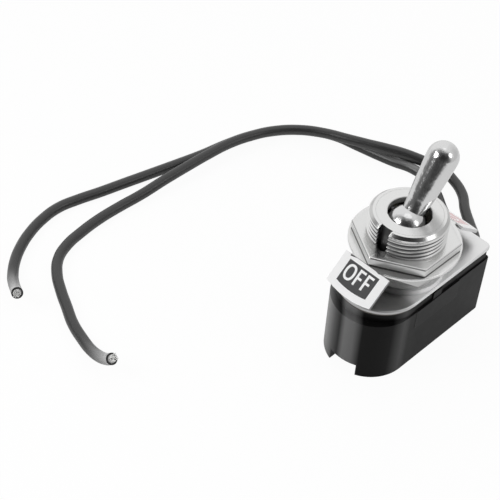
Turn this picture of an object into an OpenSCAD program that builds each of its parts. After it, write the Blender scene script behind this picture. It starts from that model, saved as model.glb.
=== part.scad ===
/* [Housing] */
// Length of the housing from the bushing axis to the round end
front_len = 12.1; // [11.4:0.1:16]
// Length of the housing from the bushing axis to the square end
rear_len = 13.8; // [12.8:0.1:18]
// Width of the housing; the front end is a half circle of this diameter
body_w = 13.4; // [12.8:0.1:17]
// Thickness of the housing's side wall
wall = 1.4; // [1:0.1:1.8]
// Height of the main wall, from the base to the small ledge
wall_h = 11.4; // [10.6:0.1:15]
// Height of the set-back lip above the ledge
lip_h = 1.5; // [0.6:0.1:2]
// How far the lip is set back from the wall
lip_in = 0.2; // [0.1:0.05:0.5]
// Radius of the housing's upright corners at the square end
corner_r = 0.5; // [0.4:0.1:2]
// Height of the wiring recess under the floor
recess_h = 4; // [3.5:0.1:5]
// Thickness of the floor between contacts and wiring
web_t = 1.2; // [0.8:0.1:1.8]
// Width of the wire notch in each end wall
notch_w = 4.8; // [4.6:0.1:6]
// Height of the wire notch
notch_h = 2.2; // [1.95:0.05:3]
// How far the front notch is off the middle plane
front_notch_y = -0.5; // [-1:0.1:1]
// Length of the raised pad on each long side
pad_l = 9.8; // [6:0.2:12]
// Height of the raised pad
pad_h = 3.7; // [1.5:0.1:4]
// How far the pad stands out of the wall
pad_t = 0.1; // [0.05:0.05:0.3]
// Middle of the pads behind the bushing axis
pad_mid = 1.5; // [0:0.1:2]
// Width of the lug that crosses the ledge on each long side
lug_w = 2; // [1.4:0.1:3]
// Middle of the lugs behind the bushing axis
lug_mid = 1.1; // [0:0.1:2]

/* [Frame] */
// Thickness of the insulating sheet under the frame plate
sheet_t = 0.4; // [0.2:0.1:0.8]
// Thickness of the frame plate
plate_t = 0.6; // [0.5:0.1:1.4]
// How far the round end of the housing stands out past the plate
front_shelf = 1; // [0.5:0.1:1.6]
// Radius of the plate's corners at the square end
plate_r = 1; // [0.6:0.1:2]
// Width of the two folded frame tabs
tab_w = 2.2; // [1.6:0.1:3]
// Thickness of the folded frame tabs
tab_t = 0.6; // [0.4:0.1:0.8]
// Length of each tab's foot under the housing floor
foot_l = 1.2; // [0.8:0.1:1.6]
// Distance of the folded tabs behind the bushing's spigot
tab_back = 0.5; // [0.3:0.1:1]

/* [Bushing] */
// Outside diameter of the thread
thread_d = 11.9; // [11.7:0.05:12.5]
// Height of the bushing above the frame plate
bushing_h = 10.8; // [9.6:0.1:13]
// Chamfer at the top of the thread
top_chamfer = 0.6; // [0.3:0.1:0.8]
// Diameter of the opening that the lever stands in
opening_d = 6.5; // [6.4:0.1:6.9]
// Thickness of the lip around the opening
opening_lip = 1; // [0.6:0.1:1]
// Diameter of the bore below the lip
bore_d = 8.8; // [8.6:0.1:9.2]
// Diameter of the spigot swaged into the frame plate
spigot_d = 10.4; // [10.2:0.1:10.8]
// How far the foot flange is set in from the sides of the frame plate
flange_in = 0.2; // [0.1:0.05:0.4]
// Height of the foot flange
flange_h = 0.9; // [0.5:0.1:1.4]
// Width of the keyway along the thread
key_w = 2; // [1.4:0.1:2.4]
// Depth of the keyway
key_depth = 1; // [0.6:0.1:1.1]

/* [Nuts and legend plate] */
// Width of both nuts across the flats
nut_af = 14.3; // [13.8:0.1:15.8]
// Thickness of the upper nut
upper_nut_t = 1.45; // [1:0.05:2.2]
// Thickness of the lower nut
lower_nut_t = 1.5; // [1:0.1:2.2]
// Height of the lower nut above the frame plate
nut_gap = 3.5; // [2:0.1:4]
// Corner chamfer on the nuts
nut_chamfer = 0.2; // [0.1:0.05:0.25]
// Turn of the lower nut against the upper nut, in degrees
lower_nut_turn = -5; // [-29:1:29]
// Relief of the thread under the nuts and the legend plate
thread_relief = 0.35; // [0.25:0.05:0.5]
// How far the relief reaches past the upper nut
relief_over = 0.15; // [0.1:0.05:0.4]
// Clearance of the nuts and the legend plate around the bushing
thread_gap = 0.05; // [0.02:0.01:0.1]
// Thickness of the legend plate
legend_t = 0.5; // [0.4:0.1:0.8]
// Diameter of the legend plate's round part
legend_d = 16.9; // [16.4:0.1:18]
// Distance of each fold line inside the legend plate's round edge
fold_in = 0.15; // [0.1:0.05:0.6]
// Width of the ON and OFF tabs
legend_w = 8.3; // [5:0.1:9]
// Reach of the folded OFF tab from the bushing axis
legend_reach = 12.6; // [11:0.1:12.8]
// Fold of the OFF tab below level, in degrees
legend_fold = 40; // [20:1:50]
// Reach of the folded ON tab from the bushing axis
on_reach = 13.4; // [11:0.1:13.6]
// Fold of the ON tab below level, in degrees
on_fold = 38; // [20:1:50]
// Width of the relief nicks at each fold
nick_w = 1.2; // [0.4:0.1:1.6]
// Gap between the legend plate's key tongue and the keyway
key_gap = 0.15; // [0.1:0.05:0.3]

/* [Lever] */
// Tilt of the lever to either side of upright, in degrees
throw = 33; // [28:1:33]
// Depth of the pivot under the top of the bushing
pivot_depth = 1.7; // [1.6:0.05:1.75]
// Diameter of the ball
ball_d = 5.8; // [5.4:0.1:5.9]
// Height of the ball's cut-off top above the pivot
ball_top = 1.75; // [1.5:0.05:1.9]
// Diameter of the flare where the bat meets the ball
flare_d = 4.5; // [3.6:0.1:4.5]
// Diameter of the bat at the top of the flare
neck_d = 3.4; // [2.4:0.1:3.4]
// Height of the rim's level on the bat above the pivot
neck_h = 3.2; // [3.1:0.1:3.4]
// Diameter of the bat at the rim of the opening
bat_base_d = 3.5; // [2.6:0.1:3.5]
// Diameter of the bat where it has cleared the rim
bat_low_d = 3.85; // [3:0.05:4.2]
// Distance over which the bat clears the rim
clear_h = 0.8; // [0.6:0.1:1.2]
// Diameter of the round tip
bat_tip_d = 4.8; // [4.5:0.1:6]
// Distance from the pivot to the middle of the tip
bat_len = 10.5; // [9:0.05:18]
// Diameter of the pivot pin
pin_d = 1.2; // [0.8:0.1:1.4]
// Length of the pivot pin
pin_len = 9.2; // [9:0.1:9.4]
// Running clearance around the pivot pin
pin_gap = 0.05; // [0.02:0.01:0.1]
// Offset of the cam's middle from the pivot
cam_offset = 1.2; // [0.8:0.05:1.2]
// Radius of the cam
cam_r = 3.1; // [3:0.05:3.15]
// Width of the cam
cam_w = 3.2; // [2:0.1:3.2]
// Where the cut of the cam's upper corner starts beside the pivot
cam_cut_x = 2; // [1.8:0.1:2.2]
// How far the cut runs down below the pivot
cam_cut_z = 1.6; // [1.4:0.1:1.8]
// Height of the ball kept below the pivot
ball_low = 0.8; // [0.7:0.1:1]

/* [Plunger and contacts] */
// Clearance between the cam and the plunger
cam_gap = 0.03; // [0.02:0.01:0.06]
// Diameter of the plunger's head
head_d = 7.2; // [6.4:0.1:8]
// Thickness of the plunger's head
head_t = 1.2; // [0.8:0.1:1.6]
// Diameter of the plunger's rod
rod_d = 2.4; // [2:0.1:2.8]
// Clearance around the rod
rod_gap = 0.15; // [0.1:0.05:0.3]
// Diameter of the stub that holds the contact bridge
stub_d = 1.4; // [1:0.1:1.6]
// Thickness of the spring seat
seat_t = 0.6; // [0.4:0.1:1]
// Diameter of the spring wire
spring_wire = 0.5; // [0.4:0.05:0.6]
// Middle diameter of the spring's coils
spring_d = 5.4; // [4.4:0.1:6]
// Turns of the spring
spring_turns = 4; // [3:1:5]
// Thickness of the brass terminal strips and of the bridge
strip_t = 0.6; // [0.5:0.1:0.8]
// Width of the terminal strips and of the bridge
strip_w = 3.6; // [3:0.1:4]
// Distance of the contacts from the bushing axis
contact_x = 3; // [2.6:0.1:3.2]
// Diameter of the contact buttons
contact_d = 2.2; // [1.6:0.1:2.4]
// Height of each contact button
contact_h = 0.5; // [0.3:0.05:0.7]
// Gap of the closed contacts, for clearance
contact_gap = 0.02; // [0.01:0.01:0.05]
// Land of strip around each contact
contact_land = 0.2; // [0.1:0.05:0.3]
// Distance of the front leg from its contact
front_leg_off = 1.8; // [1.6:0.1:2]
// Distance of the rear leg from its contact
rear_leg_off = 0.6; // [0.5:0.1:0.7]
// Width of the terminal legs
leg_w = 1.8; // [1.4:0.1:1.9]
// Height of the legs' ends above the base
leg_low = 0.3; // [0.2:0.1:0.6]
// Shank diameter of the terminal rivets
rivet_d = 1.6; // [1.2:0.1:1.8]
// Distance of the front rivet from the front leg
front_rivet_off = 2.2; // [2.1:0.1:2.4]
// Distance of the rear rivet from the rear contact
rear_rivet_off = 3.3; // [3.2:0.1:3.5]
// Length of strip past each rivet
strip_end = 1.7; // [1.5:0.1:1.9]
// Head diameter of the terminal rivets
rivet_head_d = 2.8; // [2.4:0.1:3]
// Height of the terminal rivets' heads
rivet_head_h = 0.4; // [0.3:0.05:0.6]
// Thickness of the insulating sheet under the floor
base_sheet_t = 0.6; // [0.4:0.1:1]
// Clearance around parts that pass through sheets and floor
pass_gap = 0.1; // [0.05:0.05:0.2]

/* [Wires] */
// Outside diameter of each lead
wire_d = 1.8; // [1.6:0.1:1.9]
// Diameter of the stranded conductor
strand_d = 1.1; // [0.9:0.05:1.2]
// Length of bare conductor at each cut end
strand_l = 0.4; // [0.2:0.1:1]
// Distance of each lead from the middle plane at its notch
wire_y = 1.2; // [1.1:0.05:1.3]
// Length of each crimp barrel
crimp_l = 3; // [2:0.1:3.2]
// Height of the leads above the bench
bench_gap = 0.05; // [0.02:0.01:0.1]

/* [Hidden] */
$fn = 96;
eps = 0.01;

bushing_x = (legend_reach - rear_len) / 2;
body_front = bushing_x - front_len;
body_end = bushing_x + rear_len;
lip_top = wall_h + lip_h;
plate_z = lip_top + sheet_t;
plate_top = plate_z + plate_t;
plate_front = body_front + front_shelf;
web_top = recess_h + web_t;
flange_d = body_w - 2 * flange_in;
tab_x = bushing_x + spigot_d / 2 + tab_back + tab_w / 2;
tab_y = body_w / 2 - wall - pass_gap - tab_t / 2;
bushing_top = plate_top + bushing_h;
pivot_z = bushing_top - pivot_depth;
lower_nut_z = plate_top + nut_gap;
legend_z = lower_nut_z + lower_nut_t;
upper_nut_z = legend_z + legend_t;
relief_d = thread_d - 2 * thread_relief;
nut_hole_d = relief_d + 2 * thread_gap;
legend_hole_d = thread_d + 2 * thread_gap;
fold_x = legend_d / 2 - fold_in;
free_thread_z = upper_nut_z + upper_nut_t + relief_over;

// The cam is an off-centre round; its lowest point drives the plunger
cam_low = cam_r + cam_offset * sin(throw);
head_top = pivot_z - cam_low - cam_gap;
seat_z = plate_z;
spring_z = seat_z + seat_t;
spring_h = head_top - head_t - spring_z;
strip_z = web_top;
fixed_top = strip_z + strip_t + contact_h;
bridge_z = fixed_top + contact_gap + contact_h;
front_leg_x = bushing_x - contact_x - front_leg_off;
rear_leg_x = bushing_x + contact_x - rear_leg_off;
front_rivet_x = front_leg_x - front_rivet_off;
rear_rivet_x = bushing_x + contact_x + rear_rivet_off;
wire_z = wire_d / 2 + bench_gap;

// Routes of the two leads: from the crimps, out of the rear notch and along the bench
front_start = front_leg_x + strip_t + crimp_l;
rear_start = rear_leg_x + strip_t + crimp_l;
route_1 = [[front_start, -wire_y, wire_z], [2.2, -wire_y, wire_z], [6.7, -wire_y, wire_z],
           [10.2, -wire_y, wire_z], [13.7, -wire_y, wire_z], [17.5, -0.8, wire_z], [21.4, 0.7, wire_z],
           [24.5, 2.9, wire_z], [26.7, 5.7, wire_z], [29, 8.6, wire_z], [31.9, 11.6, wire_z],
           [33.4, 14.8, 1.1], [33.7, 18, 1.6], [32.4, 21.3, 2], [30.5, 24.4, 2.8], [28.7, 27.2, 3.2],
           [27.2, 30.1, 3.3], [25.7, 33.4, 3.2], [24, 37.4, 3], [21.6, 41.1, 2.8], [17.7, 44.2, 2.8],
           [13.5, 46.1, 2.7], [9.2, 47.2, 2.6], [4.1, 47.6, 2.5], [-0.7, 47.8, 2.3], [-5.6, 48, 2],
           [-10.5, 48.3, 1.4], [-15.3, 48.8, wire_z], [-19.8, 48.7, wire_z], [-23.8, 48.2, wire_z],
           [-27.4, 47.4, wire_z], [-30.5, 45.8, wire_z], [-32.8, 43.2, wire_z], [-34.6, 39.9, wire_z],
           [-36.1, 36.5, wire_z], [-37.6, 33, wire_z], [-38.5, 29.5, 1], [-39.1, 26.7, 1.4],
           [-39.4, 24.1, 2.3], [-39.5, 22.3, 3.4], [-39.5, 21.1, 4.5]];
route_2 = [[rear_start, wire_y, wire_z], [9.4, wire_y, wire_z], [13.4, wire_y, wire_z], [17.2, 2.1, wire_z],
           [20.8, 4.3, wire_z], [23.8, 7.6, wire_z], [26.2, 11.4, wire_z], [28.6, 14.8, wire_z],
           [30.3, 18.4, wire_z], [30.4, 22.1, wire_z], [29.4, 25.2, wire_z], [28.5, 28.9, wire_z],
           [27.7, 32.9, wire_z], [26.8, 37, wire_z], [25, 40.4, wire_z], [22.3, 43.5, wire_z],
           [18.8, 46, wire_z], [14.8, 47.7, wire_z], [10.1, 48.8, wire_z], [4.6, 49.6, wire_z],
           [-0.7, 50.7, wire_z], [-5.7, 51.8, wire_z], [-10.6, 52.9, wire_z], [-15.2, 53.9, wire_z],
           [-19.2, 54.9, wire_z], [-22.9, 55.5, wire_z], [-26.7, 55, wire_z], [-30.2, 53.8, wire_z],
           [-33.5, 52, wire_z], [-36.2, 49.9, wire_z], [-38.4, 47.4, 1.2], [-39.7, 45.3, 2],
           [-40.8, 43.1, 3.1], [-41.7, 41.3, 4.3]];

// A closed tube of n sides swept along a list of points
function unit(v) = v / norm(v);
function tangent(p, i) = unit(p[min(i + 1, len(p) - 1)] - p[max(i - 1, 0)]);
function side_dir(t) = unit(cross(abs(t[2]) > 0.9 ? [1, 0, 0] : [0, 0, 1], t));
function ring(c, t, r, n) = let (u = side_dir(t), w = cross(t, u))
    [for (k = [0 : n - 1]) c + r * (cos(360 * k / n) * u + sin(360 * k / n) * w)];

module tube(points, d, n) {
    count = len(points);
    vertices = [for (i = [0 : count - 1]) each ring(points[i], tangent(points, i), d / 2, n)];
    sides = [for (i = [0 : count - 2]) for (k = [0 : n - 1])
        let (a = i * n + k, b = i * n + (k + 1) % n)
        each [[a, a + n, b], [b, a + n, b + n]]];
    first = [[for (k = [0 : n - 1]) k]];
    last = [[for (k = [n - 1 : -1 : 0]) (count - 1) * n + k]];
    polyhedron(vertices, concat(sides, first, last), convexity = 10);
}

// Plan of the housing family: a half circle in front, small corner radii behind
module plan(front, rear, w, r) {
    translate([front + w / 2, 0]) circle(d = w);
    translate([front + w / 2, -w / 2]) square([rear - r - front - w / 2, w]);
    translate([rear - r - eps, -w / 2 + r]) square([r + eps, w - 2 * r]);
    for (s = [-1, 1]) translate([rear - r, s * (w / 2 - r)]) circle(r = r);
}

module slab(front, rear, w, r, z, h) {
    translate([0, 0, z]) linear_extrude(h) plan(front, rear, w, r);
}

module box_at(x0, x1, y0, y1, z0, z1) {
    translate([x0, y0, z0]) cube([x1 - x0, y1 - y0, z1 - z0]);
}

// A block on one long side, from the middle plane out to a given face
module side_block(mid, length, s, face, z0, z1) {
    box_at(mid - length / 2, mid + length / 2, min(0, s * face), max(0, s * face), z0, z1);
}

module hex_nut(z, t, turn) {
    corners = nut_af / cos(30);
    wide = corners + 2 * nut_chamfer;
    narrow = corners - 2 * nut_chamfer;
    bevel = 2 * nut_chamfer;
    translate([bushing_x, 0, z]) difference() {
        intersection() {
            rotate(turn) cylinder(d = corners, h = t, $fn = 6);
            union() {
                cylinder(d1 = narrow, d2 = wide, h = bevel);
                translate([0, 0, bevel]) cylinder(d = wide, h = t - 2 * bevel);
                translate([0, 0, t - bevel]) cylinder(d1 = wide, d2 = narrow, h = bevel);
            }
        }
        translate([0, 0, -eps]) cylinder(d = nut_hole_d, h = t + 2 * eps);
    }
}

// Both terminal legs, with a given clearance all round
module legs(gap, z0, z1) {
    leg(front_leg_x, -wire_y, gap, z0, z1);
    leg(rear_leg_x, wire_y, gap, z0, z1);
}

module leg(x, y, gap, z0, z1) {
    side = leg_w / 2 + gap;
    box_at(x - gap, x + strip_t + gap, y - side, y + side, z0, z1);
}

module frame_tabs(gap, z0, z1) {
    for (s = [-1, 1])
        box_at(tab_x - tab_w / 2 - gap, tab_x + tab_w / 2 + gap,
               s * tab_y - tab_t / 2 - gap, s * tab_y + tab_t / 2 + gap, z0, z1);
}

module rivet_holes(d, z0, z1) {
    for (x = [front_rivet_x, rear_rivet_x]) translate([x, 0, z0]) cylinder(d = d, h = z1 - z0);
}

module housing() {
    inner_r = max(corner_r - wall / 2, 0.4);
    color([0.06, 0.06, 0.065]) difference() {
        union() {
            slab(body_front, body_end, body_w, corner_r, 0, wall_h);
            slab(plate_front + lip_in, body_end - lip_in, body_w - 2 * lip_in, plate_r - lip_in / 2,
                 wall_h - eps, lip_h + eps);
            for (s = [-1, 1])
                side_block(bushing_x + pad_mid, pad_l, s, body_w / 2 + pad_t, wall_h - pad_h, wall_h);
            for (s = [-1, 1])
                side_block(bushing_x + lug_mid, lug_w, s, body_w / 2, wall_h - eps, lip_top);
        }
        slab(plate_front + wall, body_end - wall, body_w - 2 * wall, inner_r,
             web_top, lip_top - web_top + eps);
        slab(body_front + wall, body_end - wall, body_w - 2 * wall, inner_r, -eps, recess_h + eps);
        box_at(body_front - 1, body_front + wall + 1, front_notch_y - notch_w / 2,
               front_notch_y + notch_w / 2, -eps, notch_h);
        box_at(body_end - wall - 1, body_end + 1, -notch_w / 2, notch_w / 2, -eps, notch_h);
        legs(pass_gap, recess_h - eps, web_top + eps);
        frame_tabs(pass_gap, recess_h - eps, web_top + eps);
        rivet_holes(rivet_d, recess_h - eps, web_top + eps);
    }
}

module insulating_sheet() {
    color([0.16, 0.15, 0.14]) difference() {
        slab(plate_front + lip_in, body_end - lip_in, body_w - 2 * lip_in, plate_r - lip_in / 2,
             lip_top, sheet_t);
        translate([bushing_x, 0, lip_top - eps]) cylinder(d = rod_d + 2 * rod_gap, h = sheet_t + 2 * eps);
        frame_tabs(pass_gap, lip_top - eps, plate_z + eps);
    }
}

module frame_plate() {
    foot_z = recess_h - tab_t;
    color([0.8, 0.8, 0.79]) {
        difference() {
            union() {
                slab(plate_front, body_end, body_w, plate_r, plate_z, plate_t);
                frame_tabs(0, foot_z, plate_z + eps);
                for (s = [-1, 1])
                    box_at(tab_x - tab_w / 2, tab_x + tab_w / 2,
                           min(s * (tab_y + tab_t / 2), s * (tab_y + tab_t / 2 - foot_l)),
                           max(s * (tab_y + tab_t / 2), s * (tab_y + tab_t / 2 - foot_l)), foot_z, recess_h);
            }
            translate([bushing_x, 0, plate_z - eps]) cylinder(d = spigot_d, h = plate_t + 2 * eps);
        }
    }
}

module bushing() {
    slot_r = pin_d / 2 + pin_gap;
    slot_l = pin_len / 2 + pin_gap;
    color([0.78, 0.78, 0.77]) translate([bushing_x, 0, 0]) difference() {
        union() {
            translate([0, 0, plate_z]) cylinder(d = spigot_d, h = plate_t + eps);
            translate([0, 0, plate_top]) cylinder(d = flange_d, h = flange_h);
            translate([0, 0, plate_top]) cylinder(d = relief_d, h = free_thread_z - plate_top);
            translate([0, 0, free_thread_z])
                cylinder(d = thread_d, h = bushing_top - top_chamfer - free_thread_z);
            translate([0, 0, bushing_top - top_chamfer])
                cylinder(d1 = thread_d, d2 = thread_d - 2 * top_chamfer, h = top_chamfer);
        }
        translate([0, 0, plate_z - eps])
            cylinder(d = bore_d, h = bushing_top - opening_lip - plate_z + eps);
        translate([0, 0, plate_z]) cylinder(d = opening_d, h = bushing_top - plate_z + eps);
        box_at(-thread_d / 2 - 1, -thread_d / 2 + key_depth, -key_w / 2, key_w / 2,
               plate_top + flange_h, bushing_top + eps);
        box_at(-slot_r, slot_r, -slot_l, slot_l, plate_z - eps, pivot_z);
        translate([0, slot_l, pivot_z]) rotate([90, 0, 0]) cylinder(r = slot_r, h = 2 * slot_l);
    }
}

module lower_nut() {
    color([0.8, 0.8, 0.79]) hex_nut(lower_nut_z, lower_nut_t, lower_nut_turn);
}

module upper_nut() {
    color([0.82, 0.82, 0.81]) hex_nut(upper_nut_z, upper_nut_t, 0);
}

// One tab, drawn flat from its fold line outwards and then folded down
module legend_tab(reach, fold) {
    r = fold_x + (reach - fold_x) / cos(fold);
    translate([fold_x, 0, legend_t]) rotate([0, fold, 0]) translate([-fold_x, 0, -legend_t])
        linear_extrude(legend_t) intersection() {
            circle(r = r);
            translate([fold_x - eps, -legend_w / 2]) square([r, legend_w]);
        }
    box_at(fold_x - legend_t, fold_x, -legend_w / 2 + nick_w, legend_w / 2 - nick_w, 0, legend_t);
}

module legend_plate() {
    tongue_end = -thread_d / 2 + key_depth - key_gap;
    color([0.9, 0.9, 0.9]) translate([bushing_x, 0, legend_z]) {
        difference() {
            union() {
                linear_extrude(legend_t) intersection() {
                    circle(d = legend_d);
                    square([2 * fold_x, legend_d], center = true);
                }
                legend_tab(on_reach, on_fold);
                rotate(180) legend_tab(legend_reach, legend_fold);
            }
            translate([0, 0, -eps]) cylinder(d = legend_hole_d, h = legend_t + 2 * eps);
        }
        box_at(-legend_hole_d / 2 - legend_t, tongue_end, -key_w / 2 + key_gap, key_w / 2 - key_gap,
               0, legend_t);
    }
}

// Section of the bat from the pivot up: hollow flare on the ball, slim neck, taper and round tip
function flare(n) = let (r = (flare_d - neck_d) / 2)
    [for (i = [0 : n]) [flare_d / 2 - r * sin(90 * i / n), ball_top + r * (1 - cos(90 * i / n))]];
function tip(n) = let (r = bat_tip_d / 2)
    [for (i = [0 : n - 1]) [r * cos(90 * i / n), bat_len + r * sin(90 * i / n)]];
function bat_profile() = concat([[0, 0], [flare_d / 2, 0]], flare(6),
                                [[bat_base_d / 2, neck_h], [bat_low_d / 2, neck_h + clear_h]],
                                tip(10), [[0, bat_len + bat_tip_d / 2]]);

// The cam keeps only the arc that the plunger meets, with its upper corner cut away
module cam_section() {
    half = cam_r * sin(throw + 2);
    low = -cam_r - 1;
    left = cam_offset - half;
    right = cam_offset + half;
    intersection() {
        translate([cam_offset, 0]) circle(r = cam_r);
        polygon([[left, 0], [left, low], [right, low], [right, -cam_cut_z], [cam_cut_x, 0]]);
    }
}

module bat_lever() {
    color([0.86, 0.86, 0.85]) translate([bushing_x, 0, pivot_z]) rotate([0, throw, 0]) difference() {
        union() {
            rotate_extrude() polygon(bat_profile());
            intersection() {
                sphere(d = ball_d);
                box_at(-ball_d, ball_d, -ball_d, ball_d, -ball_low, ball_top);
            }
            translate([0, cam_w / 2, 0]) rotate([90, 0, 0]) linear_extrude(cam_w) cam_section();
        }
        translate([0, ball_d, 0]) rotate([90, 0, 0]) cylinder(d = pin_d, h = 2 * ball_d);
    }
}

module pivot_pin() {
    color([0.7, 0.7, 0.7]) translate([bushing_x, pin_len / 2, pivot_z]) rotate([90, 0, 0])
        cylinder(d = pin_d, h = pin_len);
}

module plunger() {
    color([0.88, 0.85, 0.76]) translate([bushing_x, 0, 0]) {
        translate([0, 0, head_top - head_t]) cylinder(d = head_d, h = head_t);
        translate([0, 0, bridge_z + strip_t])
            cylinder(d = rod_d, h = head_top - head_t - bridge_z - strip_t + eps);
        translate([0, 0, bridge_z]) cylinder(d = stub_d, h = strip_t + eps);
    }
}

module spring_seat() {
    color([0.7, 0.66, 0.55]) translate([bushing_x, 0, seat_z]) difference() {
        cylinder(d = bore_d - 2 * pass_gap, h = seat_t);
        translate([0, 0, -eps]) cylinder(d = rod_d + 2 * rod_gap, h = seat_t + 2 * eps);
    }
}

module return_spring() {
    steps = 14;
    rise = spring_h - spring_wire;
    coil = [for (i = [0 : spring_turns * steps]) let (a = 360 * i / steps)
        [bushing_x + spring_d / 2 * cos(a), spring_d / 2 * sin(a),
         spring_z + spring_wire / 2 + rise * i / (spring_turns * steps)]];
    color([0.55, 0.56, 0.58]) tube(coil, spring_wire, 8);
}

module contact_bridge() {
    half = contact_x + contact_d / 2 + contact_land;
    color([0.75, 0.55, 0.3]) difference() {
        box_at(bushing_x - half, bushing_x + half, -strip_w / 2, strip_w / 2, bridge_z, bridge_z + strip_t);
        translate([bushing_x, 0, bridge_z - eps]) cylinder(d = stub_d, h = strip_t + 2 * eps);
    }
}

module contact_pair(z) {
    color([0.85, 0.85, 0.83]) for (s = [-1, 1])
        translate([bushing_x + s * contact_x, 0, z]) cylinder(d = contact_d, h = contact_h);
}

module bridge_contacts() {
    contact_pair(bridge_z - contact_h);
}

module fixed_contacts() {
    contact_pair(strip_z + strip_t);
}

module terminal(inner_x, rivet_x, leg_x, leg_y) {
    outer_x = rivet_x + sign(rivet_x - inner_x) * strip_end;
    color([0.76, 0.6, 0.3]) difference() {
        union() {
            box_at(min(inner_x, outer_x), max(inner_x, outer_x), -strip_w / 2, strip_w / 2,
                   strip_z, strip_z + strip_t);
            leg(leg_x, leg_y, 0, leg_low, strip_z + eps);
        }
        translate([rivet_x, 0, strip_z - eps]) cylinder(d = rivet_d, h = strip_t + 2 * eps);
    }
}

module front_terminal() {
    terminal(bushing_x - contact_x + contact_d / 2 + contact_land, front_rivet_x, front_leg_x, -wire_y);
}

module rear_terminal() {
    terminal(bushing_x + contact_x - contact_d / 2 - contact_land, rear_rivet_x, rear_leg_x, wire_y);
}

module terminal_rivets() {
    base_z = recess_h - base_sheet_t;
    color([0.78, 0.7, 0.5]) {
        rivet_holes(rivet_d, base_z - rivet_head_h, strip_z + strip_t);
        rivet_holes(rivet_head_d, strip_z + strip_t, strip_z + strip_t + rivet_head_h);
        rivet_holes(rivet_head_d, base_z - rivet_head_h, base_z);
    }
}

module base_sheet() {
    margin = wall + pass_gap;
    color([0.2, 0.17, 0.14]) difference() {
        slab(body_front + margin, body_end - margin, body_w - 2 * margin, max(corner_r - wall / 2, 0.4),
             recess_h - base_sheet_t, base_sheet_t);
        legs(pass_gap, 0, recess_h + eps);
        rivet_holes(rivet_d, 0, recess_h + eps);
        for (s = [-1, 1])
            box_at(tab_x - tab_w / 2 - pass_gap, tab_x + tab_w / 2 + pass_gap,
                   min(s * body_w / 2, s * (tab_y + tab_t / 2 - foot_l - pass_gap)),
                   max(s * body_w / 2, s * (tab_y + tab_t / 2 - foot_l - pass_gap)), 0, recess_h + eps);
    }
}

module crimp_barrels() {
    color([0.76, 0.6, 0.3]) {
        translate([front_leg_x + strip_t, -wire_y, wire_z]) rotate([0, 90, 0])
            cylinder(d = wire_d, h = crimp_l);
        translate([rear_leg_x + strip_t, wire_y, wire_z]) rotate([0, 90, 0])
            cylinder(d = wire_d, h = crimp_l);
    }
}

module wire_1() {
    color([0.07, 0.07, 0.075]) tube(route_1, wire_d, 8);
}

module wire_2() {
    color([0.07, 0.07, 0.075]) tube(route_2, wire_d, 8);
}

// Bare conductor that stands out of a lead's cut end
module bare_end(route) {
    last = len(route) - 1;
    dir = unit(route[last] - route[last - 1]);
    color([0.75, 0.72, 0.68]) translate(route[last])
        rotate([0, acos(dir[2]), atan2(dir[1], dir[0])]) cylinder(d = strand_d, h = strand_l);
}

module conductor_1() {
    bare_end(route_1);
}

module conductor_2() {
    bare_end(route_2);
}

housing();
insulating_sheet();
frame_plate();
bushing();
lower_nut();
legend_plate();
upper_nut();
bat_lever();
pivot_pin();
plunger();
spring_seat();
return_spring();
contact_bridge();
bridge_contacts();
front_terminal();
rear_terminal();
fixed_contacts();
terminal_rivets();
base_sheet();
crimp_barrels();
wire_1();
wire_2();
conductor_1();
conductor_2();
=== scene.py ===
# %% [markdown]
# A panel toggle switch: a chrome bat lever stands in a threaded bushing, two thin
# hex nuts hold an ON/OFF legend plate, and two leads leave the black housing.
# The CAD frame gives every place and size, so this script only dresses it.

# %% Load the frame
import math

import bmesh
import bpy
from mathutils import Matrix, Quaternion, Vector


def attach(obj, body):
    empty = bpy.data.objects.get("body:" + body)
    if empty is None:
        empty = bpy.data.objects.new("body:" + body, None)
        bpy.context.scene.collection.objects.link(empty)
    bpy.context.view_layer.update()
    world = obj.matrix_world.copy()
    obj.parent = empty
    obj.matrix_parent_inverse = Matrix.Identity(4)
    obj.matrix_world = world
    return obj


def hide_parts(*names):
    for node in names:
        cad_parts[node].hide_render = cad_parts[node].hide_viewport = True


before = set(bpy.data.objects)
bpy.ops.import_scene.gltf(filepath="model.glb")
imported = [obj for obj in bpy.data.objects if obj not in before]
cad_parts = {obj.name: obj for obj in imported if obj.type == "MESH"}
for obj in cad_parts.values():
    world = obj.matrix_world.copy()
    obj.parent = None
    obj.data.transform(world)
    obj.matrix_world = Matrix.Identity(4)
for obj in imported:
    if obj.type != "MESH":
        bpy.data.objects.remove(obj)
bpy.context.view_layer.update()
MM = 0.001
AXIS_X = -0.6
PLATE_LOW, PLATE_TOP, COLLAR_TOP = 13.3, 13.9, 14.8
LOW_NUT_Z, LEGEND_LOW, LEGEND_TOP = 17.4, 18.9, 19.4

# %% [markdown]
# The photograph looks down on the OFF end from the left. Position, aim and a small
# roll describe that view, and a long lens keeps the perspective gentle.

# %% Camera
camera = bpy.data.objects.new("camera", bpy.data.cameras.new("camera"))
bpy.context.scene.collection.objects.link(camera)
bpy.context.scene.camera = camera
camera.data.sensor_fit = "HORIZONTAL"
camera.data.sensor_width = 36
camera.data.lens = 88.2
camera.data.clip_start = 0.005
camera.location = Vector((-110.65, -73.2, 143.6)) * MM
aim = Vector((-15.94, 16.7, 14.8)) * MM - camera.location
camera.rotation_mode = "QUATERNION"
camera.rotation_quaternion = aim.to_track_quat("-Z", "Y") @ Quaternion((0, 0, 1), math.radians(3.3))
print("camera", round(aim.length / MM, 1), "mm away")

# %% [markdown]
# Every finish is one Principled shader. A small class wraps a socket so that shader
# maths reads as arithmetic, and one method adds any other node.

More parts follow.
